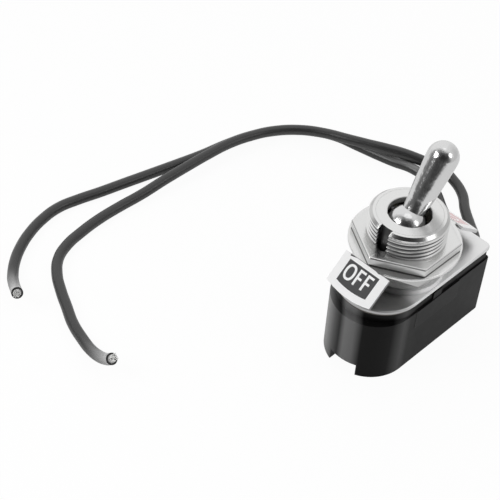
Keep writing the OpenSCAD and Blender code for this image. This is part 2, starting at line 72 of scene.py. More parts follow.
# %% Shader helpers
class Value:
    """A socket whose arithmetic adds Math nodes."""

    def __init__(self, finish, socket):
        self.finish, self.socket = finish, socket

    def _math(self, operation, a, b):
        return self.finish.node("ShaderNodeMath", {"operation": operation}, {0: a, 1: b})

    def __add__(self, other):
        return self._math("ADD", self, other)

    __radd__ = __add__

    def __sub__(self, other):
        return self._math("SUBTRACT", self, other)

    def __rsub__(self, other):
        return self._math("SUBTRACT", other, self)

    def __mul__(self, other):
        return self._math("MULTIPLY", self, other)

    __rmul__ = __mul__


class Nodes:
    """A node tree: one method adds any node, the others put the usual ones together."""

    def __init__(self, tree):
        self.tree = tree

    def put(self, node, key, value):
        socket = node.inputs[key]
        if isinstance(value, Value):
            self.tree.links.new(value.socket, socket)
        elif hasattr(socket.default_value, "__len__") and len(socket.default_value) == 4:
            socket.default_value = (*value, 1) if len(value) == 3 else value
        else:
            socket.default_value = value

    def node(self, kind, settings=None, inputs=None, out=0):
        made = self.tree.nodes.new(kind)
        for key, value in (settings or {}).items():
            if key == "stops":
                ramp = made.color_ramp.elements
                ramp[0].position, ramp[1].position = value[0][0], value[-1][0]
                for place, level in value[1:-1]:
                    ramp.new(place)
                for element, (place, level) in zip(ramp, value):
                    element.color = (level, level, level, 1)
            else:
                setattr(made, key, value)
        for key, value in (inputs or {}).items():
            self.put(made, key, value)
        return Value(self, made.outputs[out])

    def noise(self, scale, detail=2, stretch=(1, 1, 1)):
        place = self.node("ShaderNodeTexCoord", out="Object")
        place = self.node("ShaderNodeMapping", inputs={"Vector": place, "Scale": stretch})
        return self.node("ShaderNodeTexNoise", inputs={"Vector": place, "Scale": scale, "Detail": detail})

    def along(self, direction):
        """How far a point of the object lies along a direction, in millimetres."""
        place = self.node("ShaderNodeTexCoord", out="Object")
        return 1000 * self.dot(place, direction)

    def dot(self, place, direction):
        vectors = {0: place, 1: direction}
        return self.node("ShaderNodeVectorMath", {"operation": "DOT_PRODUCT"}, vectors, "Value")

    def ramp(self, value, low, high, stops):
        """Grey levels at places between low and high."""
        stops = [((place - low) / (high - low), level) for place, level in stops]
        return self.node("ShaderNodeValToRGB", {"stops": stops}, {0: (value - low) * (1 / (high - low))})


class Finish(Nodes):
    """A material with one Principled shader; constants are set on its own sockets."""

    def __init__(self, name, slot=None, **constants):
        self.slot = slot or name
        self.material = bpy.data.materials.new(name + "_finish")
        self.material.use_nodes = True
        super().__init__(self.material.node_tree)
        self.shader = self.tree.nodes["Principled BSDF"]
        for key, value in constants.items():
            self.put(self.shader, key.replace("_", " "), value)

    def bump(self, height, depth):
        normal = self.node("ShaderNodeBump", inputs={"Height": height, "Distance": depth, "Strength": 1})
        self.put(self.shader, "Normal", normal)

    def vary(self, key, value):
        self.put(self.shader, key, value)

# %% [markdown]
# The metal is nickel and chrome with a little waviness, the housing a hard black
# moulding, the leads soft vinyl. Noise varies the roughness so that nothing looks
# too even close up.

# %% Finishes
black_moulding = Finish("black_moulding", Specular_IOR_Level=0.075)
across = black_moulding.along((0.69, -0.72, 0))
# Painted reflections: the base colour carries soft light and dark bands across the housing, and is a little
# lighter on the raised pad.
painted_sheen = black_moulding.ramp(across, -11, 15, [
    (-10.7, 0.2), (-9.9, 0.07), (-9.2, 0.012), (-8.5, 0.18), (-7.2, 0.16), (-6, 0.006), (-1.6, 0.004),
    (-0.9, 0.035), (0.2, 0.075), (1.2, 0.01), (3, 0.003), (14, 0.004)])
pad = black_moulding.ramp(across, -11, 15, [(1.7, 0), (2.3, 0.007), (8.7, 0.007), (8.9, 0)])
high = black_moulding.ramp(black_moulding.along((0, 0, 1)), 0, 12, [(7.6, 0), (7.8, 1), (11.3, 1), (11.5, 0)])
front = black_moulding.ramp(black_moulding.along((0, -1, 0)), 0, 10, [(6.2, 0), (6.6, 1)])
black_moulding.vary("Base Color", painted_sheen + pad * high * front)
black_moulding.vary("Roughness", 0.28 + 0.1 * black_moulding.noise(700))
pad_edge = Finish("pad_edge", "black_moulding", Base_Color=(0.035, 0.035, 0.035), Roughness=0.5)

nickel_plate = Finish("nickel_plate")
lengthwise = nickel_plate.along((1, 0, 0))
# Painted shade and light: the base colour is darkest towards the OFF end and brightest around the collar.
nickel_plate.vary("Base Color", nickel_plate.ramp(lengthwise, -10, 10, [
    (-7, 0.5), (-5.6, 0.65), (-4.6, 1.0), (3, 0.95), (7, 0.78)]))
# Painted highlight: around the collar the plate turns less metallic, so it takes in diffuse light and reads
# bright.
painted_highlight_band = nickel_plate.ramp(lengthwise, -10, 10, [(-5.9, 0), (-4.3, 1), (-2, 0.75), (3, 0.6), (7, 0)])
nickel_plate.vary("Metallic", 1 - 0.85 * painted_highlight_band)
nickel_plate.vary("Roughness", 0.36 + 0.1 * nickel_plate.noise(500))

nickel_brass = Finish("nickel_brass", Base_Color=(0.74, 0.74, 0.735), Metallic=1.0)
nickel_brass.vary("Roughness", 0.12 + 0.08 * nickel_brass.noise(1200))
# Painted shade: a dark grey for the thread roots and the keyway floor.
groove_grey = Finish("groove_grey", "nickel_brass", Base_Color=(0.13, 0.13, 0.13), Metallic=1.0,
                     Roughness=0.35)
# Painted shade: near-black for the keyway's walls.
keyway_dark = Finish("keyway_dark", "nickel_brass", Base_Color=(0.012, 0.012, 0.012), Roughness=0.5)
# Painted shade and light on the collar: dark towards the OFF end, pale towards the ON end.
collar_grey = Finish("collar_grey", "nickel_brass", Metallic=0.3, Roughness=0.4)
collar_grey.vary("Base Color", collar_grey.ramp(collar_grey.along((1, 0, 0)), -8, 6, [
    (-7, 0.14), (-5.4, 0.3), (-4.2, 0.8), (-3, 1.0), (5, 0.9)]))
# Painted light: a paler, less metallic copy of the nickel for the shank under the lower nut, which sits in
# shade.
shank_grey = Finish("shank_grey", "nickel_brass", Base_Color=(0.55, 0.55, 0.545), Metallic=0.5, Roughness=0.4)
# Painted shade: a darker copy of the nickel on the chamfer tones down the lamp's reflection there.
chamfer = Finish("chamfer", "nickel_brass", Base_Color=(0.56, 0.56, 0.555), Metallic=1.0, Roughness=0.2)
lip_grey = Finish("lip_grey", "nickel_brass", Base_Color=(0.3, 0.3, 0.295), Metallic=0.3, Roughness=0.5)

nickel_nut = Finish("nickel_nut", Base_Color=(0.72, 0.72, 0.715))
# Painted light: on the side facing -x and -y the nut is less metallic, so it takes in diffuse light and reads
# lighter.
painted_light_front = nickel_nut.ramp(nickel_nut.along((-0.64, -0.77, 0)), 0, 10, [(5.6, 0), (7, 1)])
nickel_nut.vary("Metallic", 1 - 0.4 * painted_light_front)
nickel_nut.vary("Roughness", 0.18 + 0.1 * nickel_nut.noise(1000))
nut_side = Finish("nut_side", "nickel_nut", Base_Color=(0.74, 0.74, 0.735), Metallic=1.0)
nut_side.vary("Roughness", 0.34 + 0.14 * nut_side.noise(1600))
# Painted shade: the nuts' bevels are dark grey, which draws dark lines along their edges.
nut_edge = Finish("nut_edge", "nickel_nut", Base_Color=(0.2, 0.2, 0.2), Metallic=1.0, Roughness=0.35)
# Painted shade: the lower nut, under the legend disc, has a darker base colour than the upper one.
dull_nut = Finish("dull_nut", "nickel_nut", Base_Color=(0.52, 0.52, 0.515), Metallic=1.0, Roughness=0.22)

chrome = Finish("chrome", Base_Color=(0.68, 0.68, 0.68), Metallic=1.0)
chrome.vary("Roughness", 0.12 + 0.08 * chrome.noise(900))
chrome.bump(chrome.noise(900, 3, (1, 1, 0.35)), 0.0001)

legend_metal = Finish("legend_metal", "legend_white", Base_Color=(0.74, 0.74, 0.735), Metallic=1.0)
legend_metal.vary("Roughness", 0.18 + 0.1 * legend_metal.noise(1100))
# Painted shade: the tabs' undersides are a darker grey, which darkens their reflection in the frame plate.
legend_back = Finish("legend_back", "legend_white", Base_Color=(0.36, 0.36, 0.36), Metallic=1.0,
                     Roughness=0.4)
cut_edge = Finish("cut_edge", "legend_white", Base_Color=(0.3, 0.3, 0.3), Metallic=1.0, Roughness=0.4)
white_edge = Finish("white_edge", "legend_white", Base_Color=(0.85, 0.85, 0.85), Roughness=0.4)
white_ink = Finish("white_ink", "legend_white", Base_Color=(0.95, 0.95, 0.95), Roughness=0.4)
# Painted shade: near-black marks for the gaps at the tab's fold.
slit_dark = Finish("slit_dark", "legend_white", Base_Color=(0.02, 0.02, 0.02), Roughness=0.6)
grey_ink = Finish("grey_ink", "legend_white", Base_Color=(0.022, 0.022, 0.023), Roughness=0.5)
red_ink = Finish("red_ink", "legend_white", Base_Color=(0.6, 0.12, 0.13), Roughness=0.3, Coat_Weight=1.0,
                 Coat_Roughness=0.1)


def vinyl(name, top_highlight):
    """Soft vinyl. Its base colour carries a painted sheen at the raised cut ends and, where the other lead
    leans on it, a painted highlight along the top.
    """
    made = Finish(name, "black_pvc", Specular_IOR_Level=0.6)
    x, y, z = made.along((1, 0, 0)), made.along((0, 1, 0)), made.along((0, 0, 1))
    ends = made.ramp(z, 0, 6, [(1.8, 0), (4.6, 1)]) * made.ramp(x, -45, 45, [(-39, 1), (-37, 0)])
    top = made.ramp(z, 0, 3, [(1.35, 0), (1.85, 1)]) * made.ramp(x, -45, 45, [(18, 0), (24, 1)])
    crossing = made.ramp(y, 0, 60, [(17, 0), (21, 1), (38, 1), (45, 0)])
    # Painted sheen at the raised cut ends, and a painted highlight along the top where the leads cross.
    made.vary("Base Color", 0.03 + 0.4 * ends + top_highlight * (top * crossing))
    made.vary("Roughness", 0.3 + 0.1 * made.noise(600))
    made.bump(made.noise(1200), 0.000008)
    return made


# The lower lead gets the painted highlight along its top where the upper lead leans on it.
black_pvc, lower_pvc = vinyl("black_pvc", 0), vinyl("lower_pvc", 0.22)

cut_vinyl = Finish("cut_vinyl", "black_pvc", Base_Color=(0.02, 0.02, 0.02), Roughness=0.6)
tinned_strand = Finish("tinned_strand", Base_Color=(0.84, 0.84, 0.83), Metallic=0.25, Roughness=0.35)
bare_brass = Finish("bare_brass", Base_Color=(0.72, 0.52, 0.24), Metallic=1.0, Roughness=0.3)
silver = Finish("silver", Base_Color=(0.85, 0.84, 0.82), Metallic=1.0, Roughness=0.25)
spring_steel = Finish("spring_steel", Base_Color=(0.5, 0.5, 0.52), Metallic=1.0, Roughness=0.3)
fibre = Finish("fibre", Base_Color=(0.1, 0.09, 0.08), Roughness=0.7)
ivory_plastic = Finish("ivory_plastic", Base_Color=(0.78, 0.74, 0.63), Roughness=0.45)
print("finishes", len(bpy.data.materials))

# %% [markdown]
# Each lead is a curve through the CAD route's points with automatic handles, as a
# soft wire takes smooth bends. The curve's bevel gives it its thickness.

# %% Leads
LEAD_R, STRAND_R, FULLER = 0.92, 0.66, 1.1
ROUTE_1 = [(-1.8, -1.2, 0.95), (2.2, -1.2, 0.95), (6.7, -1.2, 0.95), (10.2, -1.2, 0.95), (13.7, -1.2, 0.95),
           (17.5, -0.8, 0.95), (21.4, 0.7, 0.95), (24.5, 2.9, 0.95), (26.7, 5.7, 0.95), (29, 8.6, 0.95),
           (31.9, 11.6, 0.95), (33.4, 14.8, 1.1), (33.7, 18, 1.6), (32.4, 21.3, 2), (30.5, 24.4, 2.8),
           (28.7, 27.2, 3.2), (27.2, 30.1, 3.3), (25.7, 33.4, 3.2), (24, 37.4, 3), (21.6, 41.1, 2.8),
           (17.7, 44.2, 2.8), (13.5, 46.1, 2.7), (9.2, 47.2, 2.6), (4.1, 47.6, 2.5), (-0.7, 47.8, 2.3),
           (-5.6, 48, 2), (-10.5, 48.3, 1.4), (-15.3, 48.8, 0.95), (-19.8, 48.7, 0.95), (-23.8, 48.2, 0.95),
           (-27.4, 47.4, 0.95), (-30.5, 45.8, 0.95), (-32.8, 43.2, 0.95), (-34.6, 39.9, 0.95),
           (-36.1, 36.5, 0.95), (-37.6, 33, 0.95), (-38.5, 29.5, 1), (-39.1, 26.7, 1.4), (-39.4, 24.1, 2.3),
           (-39.5, 22.3, 3.4), (-39.5, 21.1, 4.5)]
ROUTE_2 = [(5.4, 1.2, 0.95), (9.4, 1.2, 0.95), (13.4, 1.2, 0.95), (17.2, 2.1, 0.95), (20.8, 4.3, 0.95),
           (23.8, 7.6, 0.95), (26.2, 11.4, 0.95), (28.6, 14.8, 0.95), (30.3, 18.4, 0.95), (30.4, 22.1, 0.95),
           (29.4, 25.2, 0.95), (28.5, 28.9, 0.95), (27.7, 32.9, 0.95), (26.8, 37, 0.95), (25, 40.4, 0.95),
           (22.3, 43.5, 0.95), (18.8, 46, 0.95), (14.8, 47.7, 0.95), (10.1, 48.8, 0.95), (4.6, 49.6, 0.95),
           (-0.7, 50.7, 0.95), (-5.7, 51.8, 0.95), (-10.6, 52.9, 0.95), (-15.2, 53.9, 0.95),
           (-19.2, 54.9, 0.95), (-22.9, 55.5, 0.95), (-26.7, 55, 0.95), (-30.2, 53.8, 0.95),
           (-33.5, 52, 0.95), (-36.2, 49.9, 0.95), (-38.4, 47.4, 1.2), (-39.7, 45.3, 2),
           (-40.8, 43.1, 3.1), (-41.7, 41.3, 4.3)]


def lead(name, node, route, full, finish):
    """A lead along its route, a little fuller at the points where it leans on the other one."""
    curve = bpy.data.curves.new(name, "CURVE")
    curve.dimensions = "3D"
    curve.bevel_depth = LEAD_R * MM
    curve.bevel_resolution = 6
    curve.resolution_u = 8
    curve.use_fill_caps = True
    spline = curve.splines.new("BEZIER")
    spline.bezier_points.add(len(route) - 1)
    for point, place in zip(spline.bezier_points, route):
        point.co = Vector(place) * MM
        point.handle_left_type = point.handle_right_type = "AUTO"
    for index in full:
        spline.bezier_points[index].radius = FULLER
    curve.materials.append(finish.material)
    made = bpy.data.objects.new(name, curve)
    bpy.context.scene.collection.objects.link(made)
    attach(made, "base")
    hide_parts(node)
    length = spline.calc_length()
    print(name, "length", round(length / MM, 1), "mm")
    return made, length


def at_end(route):
    """Moves what is drawn round the z axis to the end of a route."""
    tip = Vector(route[-1]) * MM
    along = tip - Vector(route[-2]) * MM
    return Matrix.Translation(tip) @ along.to_track_quat("Z", "Y").to_matrix().to_4x4()


def on_circle(radius, count):
    return [(radius * math.cos(k * math.tau / count), radius * math.sin(k * math.tau / count))
            for k in range(count)]


def join_rings(bm, loops):
    """Joins each loop of points to the next one, and the last to the first."""
    for ring, following in zip(loops, loops[1:] + loops[:1]):
        for k in range(len(ring)):
            after = (k + 1) % len(ring)
            bm.faces.new((ring[k], ring[after], following[after], following[k]))


def strands(name, node, route, lean):
    """A bundle of fine wires at a lead's cut end, leaning a little to one side."""
    bm = bmesh.new()
    spots = [(0, 0)] + on_circle(0.25, 6) + on_circle(0.5, 12)
    for index, (x, y) in enumerate(spots):
        reach = 0.3 + 0.12 * math.sin(index * 2.3)
        place = Matrix.Translation(Vector((x, y, reach / 2 - 0.05)) * MM)
        bmesh.ops.create_cone(bm, cap_ends=True, segments=8, radius1=0.12 * MM, radius2=0.1 * MM,
                              depth=(reach + 0.1) * MM, matrix=place)
    for v in bm.verts:
        v.co.z = max(v.co.z, -0.05 * MM)
    past = [max(0, v.co.z) for v in bm.verts]
    bmesh.ops.transform(bm, matrix=at_end(route), verts=bm.verts)
    for v, reach in zip(bm.verts, past):
        v.co += Vector(lean) * reach
    return piece(name, bm, tinned_strand, "base", node)


def cut_ring(name, node, route):
    """The dark ring of vinyl round the strands, where a lead is cut off."""
    bm = bmesh.new()
    outer = LEAD_R + 0.01
    loops = []
    for radius, z in ((outer, -0.12), (outer, 0.02), (STRAND_R, 0.02), (STRAND_R, -0.12)):
        loops.append([bm.verts.new(Vector((x, y, z)) * MM) for x, y in on_circle(radius, 32)])
    join_rings(bm, loops)
    bmesh.ops.recalc_face_normals(bm, faces=bm.faces)
    bmesh.ops.transform(bm, matrix=at_end(route), verts=bm.verts)
    return piece(name, bm, cut_vinyl, "base", node, sharp=30)

# %% [markdown]
# A finished piece is a mesh at the origin. One helper writes the mesh, gives it its
# finish, lets it ride on its body and hides the CAD node it stands for.

# %% Piece helper
def piece(name, bm, finish, body, node=None, sharp=40):
    mesh = bpy.data.meshes.new(name)
    bm.to_mesh(mesh)
    bm.free()
    mesh.materials.append(finish.material)
    made = bpy.data.objects.new(name, mesh)
    bpy.context.scene.collection.objects.link(made)
    mesh.shade_smooth()
    mesh.set_sharp_from_angle(angle=math.radians(sharp))
    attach(made, body)
    if node:
        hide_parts(node)
    print(name, len(mesh.polygons), "faces")
    return made


def refinish(made, finish, wanted):
    """Gives some faces another finish; wanted gets a face's middle in mm and its normal."""
    made.data.materials.append(finish.material)
    spot = len(made.data.materials) - 1
    for face in made.data.polygons:
        if wanted(face.center / MM, face.normal):
            face.material_index = spot


def flat_faces(made, weight):
    """Large faces shade as flat ones, and their bevels carry the bend."""
    weigh = made.modifiers.new("flat_faces", "WEIGHTED_NORMAL")
    weigh.keep_sharp = True
    weigh.weight = weight


def thicken(bm, faces, by):
    """Makes flat faces into solids that reach by (in mm) from them."""
    grown = bmesh.ops.extrude_face_region(bm, geom=faces, use_keep_orig=True)["geom"]
    moved = [g for g in grown if isinstance(g, bmesh.types.BMVert)]
    bmesh.ops.translate(bm, vec=Vector(by) * MM, verts=moved)
    bmesh.ops.recalc_face_normals(bm, faces=bm.faces)


def off_axis(place):
    """How far a place lies from the bushing's axis, in millimetres."""
    return math.hypot(place.x - AXIS_X, place.y)

# %% Make the leads
lead_1, length_1 = lead("lead_1", "wire_1", ROUTE_1, (13, 14, 15), black_pvc)
lead_2, length_2 = lead("lead_2", "wire_2", ROUTE_2, (), lower_pvc)
strands_1 = strands("strands_1", "conductor_1", ROUTE_1, (0.6, -0.6, 1.2))
strands_2 = strands("strands_2", "conductor_2", ROUTE_2, (-0.5, 0.2, -0.3))
ring_1 = cut_ring("cut_ring_1", "wire_1", ROUTE_1)
ring_2 = cut_ring("cut_ring_2", "wire_2", ROUTE_2)

# %% [markdown]
# Flat stamped and moulded pieces keep their CAD shape and only need worn edges. A
# copy of the node is merged, its flat faces are joined, and its sharp edges bevelled.

# %% Rounded copies
def rounded_copy(name, node, finish, rounds):
    bm = bmesh.new()
    bm.from_mesh(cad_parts[node].data)
    bmesh.ops.remove_doubles(bm, verts=bm.verts, dist=0.002 * MM)
    bmesh.ops.dissolve_limit(bm, angle_limit=math.radians(1), verts=bm.verts, edges=bm.edges)
    for width, wanted in rounds:
        edges = [e for e in bm.edges if len(e.link_faces) == 2 and e.calc_face_angle() > math.radians(28)
                 and wanted(e.verts[0].co / MM, e.verts[1].co / MM)]
        bmesh.ops.bevel(bm, geom=edges, offset=width * MM, offset_type="OFFSET", affect="EDGES", segments=3,
                        profile=0.5, material=-1, clamp_overlap=True)
    made = piece(name, bm, finish, "base", node, sharp=50)
    flat_faces(made, 80)
    return made


def any_edge(a, b):
    return True


def level(z):
    return lambda a, b: abs(a.z - z) < 0.02 and abs(b.z - z) < 0.02


FOLD_EDGE, ON_EDGE = 8.35, 7.9
shell = rounded_copy("housing_shell", "housing", black_moulding, [(0.07, any_edge)])
refinish(shell, pad_edge, lambda c, n: c.y < -6.6 and n.x < -0.2 and 7 < c.z < 11.5)
rounded_copy("frame", "frame_plate", nickel_plate, [(0.2, level(PLATE_TOP)), (0.05, any_edge)])
disc = rounded_copy("legend_disc", "legend_plate", legend_metal,
                    [(0.1, level(LEGEND_TOP)), (0.22, level(LEGEND_LOW))])
refinish(disc, cut_edge, lambda c, n: c.x < AXIS_X - FOLD_EDGE and abs(n.z) < 0.7)
refinish(disc, white_edge, lambda c, n: c.x > AXIS_X + ON_EDGE and abs(n.z) < 0.7)
# Painted shade on the tabs' undersides.
refinish(disc, legend_back, lambda c, n: n.z < -0.2 and abs(c.x - AXIS_X) > FOLD_EDGE)

# %% [markdown]
# The nuts are stamped and tumbled: flat faces, small rounded corners, a fine bevel on
# every edge, and corner tips that a shallow cone has taken down a little.

# %% Nuts
NUT_HALF, NUT_CORNER, NUT_BEVEL = 7.15, 0.35, 0.28
NUT_HOLE, NUT_CONE, HOLE_BEVEL = 5.65, 7.98, 0.3


def hexagon(inset, turn):
    """Points of a hexagon with rounded corners, set in from the nut's sides."""
    radius = NUT_CORNER - inset
    reach = (NUT_HALF - NUT_CORNER) / math.cos(math.radians(30))
    points = []
    for corner in range(6):
        middle = math.radians(60 * corner + turn)
        for step in range(9):
            a = middle + math.radians(-30 + 7.5 * step)
            points.append((reach * math.cos(middle) + radius * math.cos(a),
                           reach * math.sin(middle) + radius * math.sin(a)))
    return points


def round_hole(radius, outline):
    return [(radius * x / math.hypot(x, y), radius * y / math.hypot(x, y)) for x, y in outline]


def capped(points):
    """The same points, with the corner tips drawn in to the round flat top."""
    near = []
    for x, y in points:
        share = min(1, NUT_CONE / math.hypot(x, y))
        near.append((x * share, y * share))
    return near


def nut(name, node, low, thick, turn, finish):
    bm = bmesh.new()
    outline, inner = hexagon(0, turn), hexagon(NUT_BEVEL, turn)
    turns = [math.radians(18 * k) for k in range(6)]
    edge = [(hexagon(NUT_BEVEL * (1 - math.sin(a)), turn), NUT_BEVEL * (1 - math.cos(a))) for a in turns]
    steps = [(capped(inner), 0)] + edge + [(points, thick - down) for points, down in reversed(edge)]
    hole, mouth = round_hole(NUT_HOLE, outline), round_hole(NUT_HOLE + HOLE_BEVEL, outline)
    steps += [(capped(inner), thick), (mouth, thick), (hole, thick - HOLE_BEVEL), (hole, HOLE_BEVEL),
              (mouth, 0)]
    loops = []
    for points, height in steps:
        loop = []
        for x, y in points:
            past = 0.7 * max(0, math.hypot(x, y) - NUT_CONE)
            z = min(max(height, past), thick - past)
            loop.append(bm.verts.new(Vector((AXIS_X + x, y, low + z)) * MM))
        loops.append(loop)
    join_rings(bm, loops)
    bmesh.ops.remove_doubles(bm, verts=bm.verts, dist=0.001 * MM)
    bmesh.ops.recalc_face_normals(bm, faces=bm.faces)
    made = piece(name, bm, finish, "base", node, sharp=30)
    flat_faces(made, 50)
    return made


# The lower nut takes the painted shade finish.
low_nut = nut("nut_low", "lower_nut", LOW_NUT_Z, 1.5, -5, dull_nut)
# Painted shade on the nut bevels.
refinish(low_nut, nut_edge, lambda c, n: -0.95 < n.z <= -0.2)
top_nut = nut("nut_top", "upper_nut", LEGEND_TOP, 1.45, 0, nickel_nut)
refinish(top_nut, nut_side, lambda c, n: abs(n.z) < 0.2 and off_axis(c) > 6)
refinish(top_nut, nut_edge, lambda c, n: 0.2 <= n.z < 0.6 or -0.95 < n.z <= -0.2)

# %% [markdown]
# The bushing's fine thread is a row of ridges spun round the axis. The keyway hides
# the seam, so each ridge climbs one pitch on its way round and meets the next.

# %% Bushing
PITCH = 0.73
CREST_R, ROOT_R, CORE_R = 5.95, 5.5, 4.93
CHAMFER_Z, TOP_Z = 24.28, 24.7
RIM_R, CHAMFER_R = 5.4, 5.82
COLLAR_R, COLLAR_EDGE, SPIGOT_R = 6.5, 0.15, 5.2
BORE_R, MOUTH_R, MOUTH_LOW = 4.4, 3.25, 23.7
KEY_HALF, KEY_X = 1.0, -4.8


def spin_profile(bm, profile, angle, steps, start):
    verts = [bm.verts.new(Vector((r * math.cos(start), r * math.sin(start), z)) * MM) for r, z in profile]
    edges = [bm.edges.new((a, b)) for a, b in zip(verts, verts[1:] + verts[:1])]
    full = abs(angle) > math.tau - 1e-6
    bmesh.ops.spin(bm, geom=verts + edges, cent=(0, 0, 0), axis=(0, 0, 1), angle=angle, steps=steps,
                   use_merge=full)


def bushing_core():
    bm = bmesh.new()
    collar_in, wall_r = COLLAR_R - COLLAR_EDGE, CORE_R + 0.02
    spin_profile(bm, [
        (BORE_R, PLATE_LOW), (SPIGOT_R, PLATE_LOW), (SPIGOT_R, PLATE_TOP), (collar_in, PLATE_TOP),
        (COLLAR_R, PLATE_TOP + COLLAR_EDGE), (COLLAR_R, COLLAR_TOP - COLLAR_EDGE), (collar_in, COLLAR_TOP),
        (wall_r, COLLAR_TOP), (wall_r, TOP_Z), (MOUTH_R + 0.1, TOP_Z), (MOUTH_R, TOP_Z - 0.08),
        (MOUTH_R, MOUTH_LOW), (BORE_R, MOUTH_LOW)], math.tau, 128, 0)
    return bm


def bushing_thread(bm):
    profile = [(CORE_R, COLLAR_TOP)]
    turns = int((TOP_Z - COLLAR_TOP) / PITCH)
    for k in range(turns):
        low = COLLAR_TOP + k * PITCH
        profile += [(ROOT_R, low + 0.02), (ROOT_R, low + 0.14 * PITCH), (CREST_R, low + 0.5 * PITCH),
                    (CREST_R, low + 0.62 * PITCH), (CREST_R - 0.18, low + 0.77 * PITCH)]
    profile += [(CHAMFER_R, TOP_Z), (RIM_R, TOP_Z), (CORE_R, TOP_Z)]
    gap = math.asin(KEY_HALF / CREST_R)
    part = bmesh.new()
    spin_profile(part, profile, math.tau - 2 * gap, 120, math.pi + gap)
    for v in part.verts:
        r = math.hypot(v.co.x, v.co.y) / MM
        z = v.co.z / MM
        around = (math.atan2(v.co.y, v.co.x) - math.pi) % math.tau
        if r > CORE_R + 0.1:
            if z < TOP_Z - 0.01:
                z = min(max(z + PITCH * (around / math.tau - 0.5), COLLAR_TOP), CHAMFER_Z)
            elif r > RIM_R + 0.1:
                z = CHAMFER_Z
        if around < gap * 1.01 or around > math.tau - gap * 1.01:
            v.co.y = math.copysign(KEY_HALF * MM, v.co.y)
            v.co.x = -math.sqrt(r * r - KEY_HALF ** 2) * MM
        else:
            v.co.x, v.co.y = r * MM * math.cos(around + math.pi), r * MM * math.sin(around + math.pi)
        v.co.z = z * MM
    bmesh.ops.holes_fill(part, edges=[e for e in part.edges if e.is_boundary], sides=0)
    spare = bpy.data.meshes.new("spare")
    part.to_mesh(spare)
    part.free()
    bm.from_mesh(spare)
    bpy.data.meshes.remove(spare)


bm = bushing_core()
bushing_thread(bm)
bmesh.ops.remove_doubles(bm, verts=bm.verts, dist=0.0005 * MM)
bmesh.ops.recalc_face_normals(bm, faces=bm.faces)
bmesh.ops.translate(bm, vec=(AXIS_X * MM, 0, 0), verts=bm.verts)
bushing = piece("threaded_bushing", bm, nickel_brass, "base", "bushing", sharp=25)
SHANK_LOW, KEY_TOP = COLLAR_TOP + 0.1, TOP_Z - 0.1


def in_keyway(c, half):
    return c.x < AXIS_X + KEY_X and abs(c.y) < half and c.z < KEY_TOP


# Painted shade: dark grey in the thread roots.
refinish(bushing, groove_grey, lambda c, n: 5.3 < off_axis(c) < 5.7 and c.z < 24.2)
# Painted shade: near-black keyway walls, and a dark grey keyway floor below.
refinish(bushing, keyway_dark, lambda c, n: in_keyway(c, KEY_HALF + 0.01) and c.z > SHANK_LOW)
refinish(bushing, groove_grey, lambda c, n: in_keyway(c, KEY_HALF - 0.01) and n.x < -0.9 and c.z > 20)
# Painted shade and light on the collar.
refinish(bushing, collar_grey, lambda c, n: c.z < SHANK_LOW)
# Painted light on the shank below the lower nut.
refinish(bushing, shank_grey, lambda c, n: SHANK_LOW < c.z < LOW_NUT_Z)
refinish(bushing, chamfer, lambda c, n: c.z > CHAMFER_Z and 0.2 < n.z < 0.95 and off_axis(c) > RIM_R)
refinish(bushing, lip_grey, lambda c, n: off_axis(c) < 3.3 and 23.6 < c.z < 24.65)

# %% [markdown]
# The bat is turned from bar and polished, so one profile spun round its own axis
# gives ball, neck and tip in a single smooth skin. It is then tilted to ON.

# %% Bat lever
THROW = math.radians(33)
PIVOT = Vector((AXIS_X, 0, 23))
BALL_R, BALL_MID = 3.1, -0.8
CAM_HALF = 1.6
NECK_R, RIM_H = 1.8, 3.13
TIP_R, TIP_H = 2.4, 10.5


def arc(middle, radius, start, end, steps):
    angles = [math.radians(start + (end - start) * k / steps) for k in range(steps + 1)]
    return [(middle[0] + radius * math.cos(a), middle[1] + radius * math.sin(a)) for a in angles]


def bat_profile():
    high = math.degrees(math.acos(NECK_R / BALL_R))
    points = [(0, BALL_MID)] + arc((0, BALL_MID), BALL_R, 0, high, 20)
    rise = [k / 12 for k in range(12)]
    points += [(NECK_R + (TIP_R - NECK_R) * k ** 0.75, RIM_H + (TIP_H - 0.17 - RIM_H) * k) for k in rise]
    return points + arc((0, TIP_H), TIP_R, -4, 90, 17)


def turned(profile, steps):
    bm = bmesh.new()
    verts = [bm.verts.new(Vector((r, 0, z)) * MM) for r, z in profile]
    edges = [bm.edges.new(pair) for pair in zip(verts, verts[1:])]
    bmesh.ops.spin(bm, geom=verts + edges, cent=(0, 0, 0), axis=(0, 0, 1), angle=math.tau, steps=steps,
                   use_merge=True)
    bmesh.ops.remove_doubles(bm, verts=bm.verts, dist=0.0005 * MM)
    bmesh.ops.recalc_face_normals(bm, faces=bm.faces)
    return bm


bm = turned(bat_profile(), 96)
cam = [(-0.7, -0.5), (-0.7, -2.44), (0.2, -2.93), (1.2, -3.1), (2.2, -2.93), (3.1, -2.44), (3.1, -1.6),
       (2.2, -0.5)]
face = bm.faces.new([bm.verts.new(Vector((x, -CAM_HALF, z)) * MM) for x, z in cam])
thicken(bm, [face], (0, 2 * CAM_HALF, 0))
place = Matrix.Translation(PIVOT * MM) @ Matrix.Rotation(THROW, 4, "Y")
bmesh.ops.transform(bm, matrix=place, verts=bm.verts)
piece("bat", bm, chrome, "lever", "bat_lever")

# %% [markdown]
# The legends are printed: a white panel on each tab, a dark or red field on it, and
# block letters. Each layer is a thin solid, drawn flat and then laid on its tab.

# %% Legends
FOLD_X, TAB_HALF = 8.3, 4.15
FOLD = {-1: math.radians(40), 1: math.radians(38)}
REACH = {-1: 12.6, 1: 13.4}
LETTER_H, STROKE, LETTER_LOW = 2.55, 0.37, -3.55
FIELD_HALF, FIELD_TOP, FIELD_IN = 2.8, 0.65, 1.1
INK = 0.012


def drawn(bm, corners):
    """One flat face through corners given in mm."""
    bm.faces.new([bm.verts.new(Vector((x, y, 0)) * MM) for x, y in corners])


